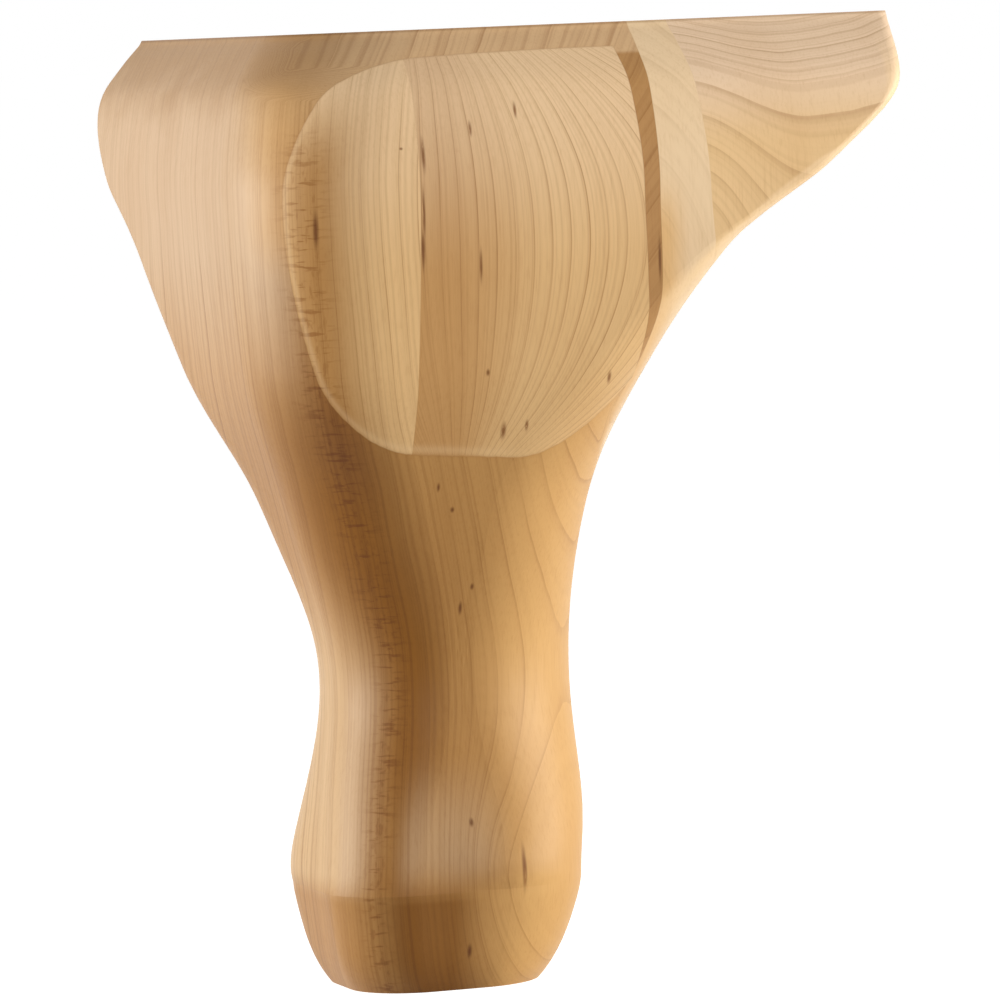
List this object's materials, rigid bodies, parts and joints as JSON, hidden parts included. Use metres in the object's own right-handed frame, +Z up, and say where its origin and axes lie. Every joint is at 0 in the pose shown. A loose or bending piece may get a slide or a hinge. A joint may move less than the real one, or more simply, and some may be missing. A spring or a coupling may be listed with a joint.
{
  "type": "cabriole furniture leg",
  "caption": "Short wooden cabriole leg with a full rounded knee, an ear to each side and a creased foot, for the corner of a cabinet, chest or sofa.",
  "frame": {"origin": "middle of the sole, on the floor", "axes": "+Z up; the outer corner of the knee points to -X -Y, one ear runs along +X and the other along +Y"},
  "size_m": [0.1483, 0.1483, 0.204],
  "materials": {
    "maple": "bare sanded maple, glued up from boards"
  },
  "bodies": {
    "root": {"cabriole_leg": "maple"}
  },
  "joints": []
}
